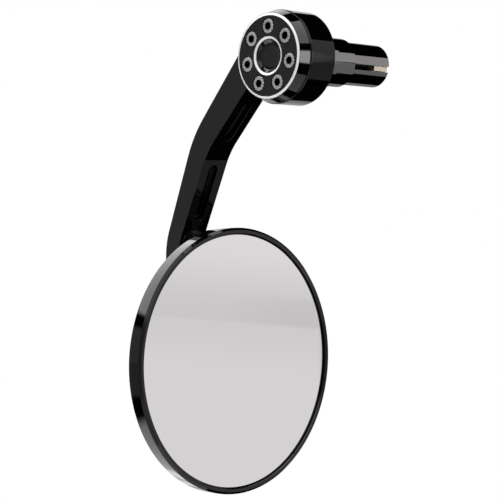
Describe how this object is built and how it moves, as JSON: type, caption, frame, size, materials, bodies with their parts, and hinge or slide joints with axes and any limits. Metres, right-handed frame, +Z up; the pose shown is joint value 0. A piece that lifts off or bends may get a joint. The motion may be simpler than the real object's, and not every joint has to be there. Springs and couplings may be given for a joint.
{
  "type": "motorcycle bar end mirror",
  "caption": "Round rear-view mirror on a cranked flat arm that swivels on a stepped, slotted expander insert for a handlebar's open end.",
  "frame": {"origin": "on the insert's axis, in the face that butts against the handlebar's end", "axes": "+X into the handlebar along the insert's axis, -Y towards the rider, +Z up with the mirror hanging below the bar"},
  "size_m": [0.0872, 0.0671, 0.1561],
  "materials": {
    "black_anodised": "satin black anodised",
    "white_plastic": "natural acetal",
    "spring_steel": "bare steel",
    "screw_steel": "grey socket head steel",
    "black_rubber": "matt rubber",
    "dark_steel": "blackened steel",
    "brass": "turned brass",
    "foam_tape": "closed cell foam",
    "mirror_glass": "back-silvered flat glass"
  },
  "bodies": {
    "insert": {"insert_body": "black_anodised", "end_cap": "black_anodised", "cap_screws": "screw_steel", "centre_plug": "black_anodised", "plug_ring": "black_rubber", "bolt_washer": "spring_steel", "wave_washer": "spring_steel"},
    "arm": {"arm": "black_anodised", "swivel_bush": "white_plastic", "ball_stud": "spring_steel"},
    "bolt": {"expander_bolt": "dark_steel"},
    "cone": {"expander_cone": "brass"},
    "rear_seat": {"seat_ring": "white_plastic"},
    "front_seat": {"seat_cup": "white_plastic"},
    "mirror": {"socket_body": "black_anodised", "socket_collar": "black_anodised", "mirror_housing": "black_anodised", "bonding_tape": "foam_tape", "mirror_glass": "mirror_glass"}
  },
  "joints": [
    {"name": "arm_swivel", "type": "hinge", "parent": "insert", "child": "arm", "pos_m": [0, 0, 0], "axis": [1, 0, 0], "continuous": true},
    {"name": "bolt_turn", "type": "hinge", "parent": "insert", "child": "bolt", "pos_m": [0, 0, 0], "axis": [-1, 0, 0], "range_deg": [0, 720.5]},
    {"name": "cone_slide", "type": "slide", "parent": "insert", "child": "cone", "axis": [1, 0, 0], "range_m": [0, 0.002]},
    {"name": "mirror_pan", "type": "hinge", "parent": "arm", "child": "rear_seat", "pos_m": [-0.00555, 0.036, -0.0594], "axis": [0, 0, 1], "range_deg": [-15, 15]},
    {"name": "mirror_roll", "type": "hinge", "parent": "rear_seat", "child": "front_seat", "pos_m": [-0.00555, 0.036, -0.0594], "axis": [0, 1, 0], "range_deg": [-45, 45]},
    {"name": "mirror_tilt", "type": "hinge", "parent": "front_seat", "child": "mirror", "pos_m": [-0.00555, 0.036, -0.0594], "axis": [1, 0, 0], "range_deg": [-15, 15]}
  ],
  "couplings": [
    {"joint": "bolt_turn", "follows": "cone_slide", "rad_per_m": 6283.2}
  ]
}
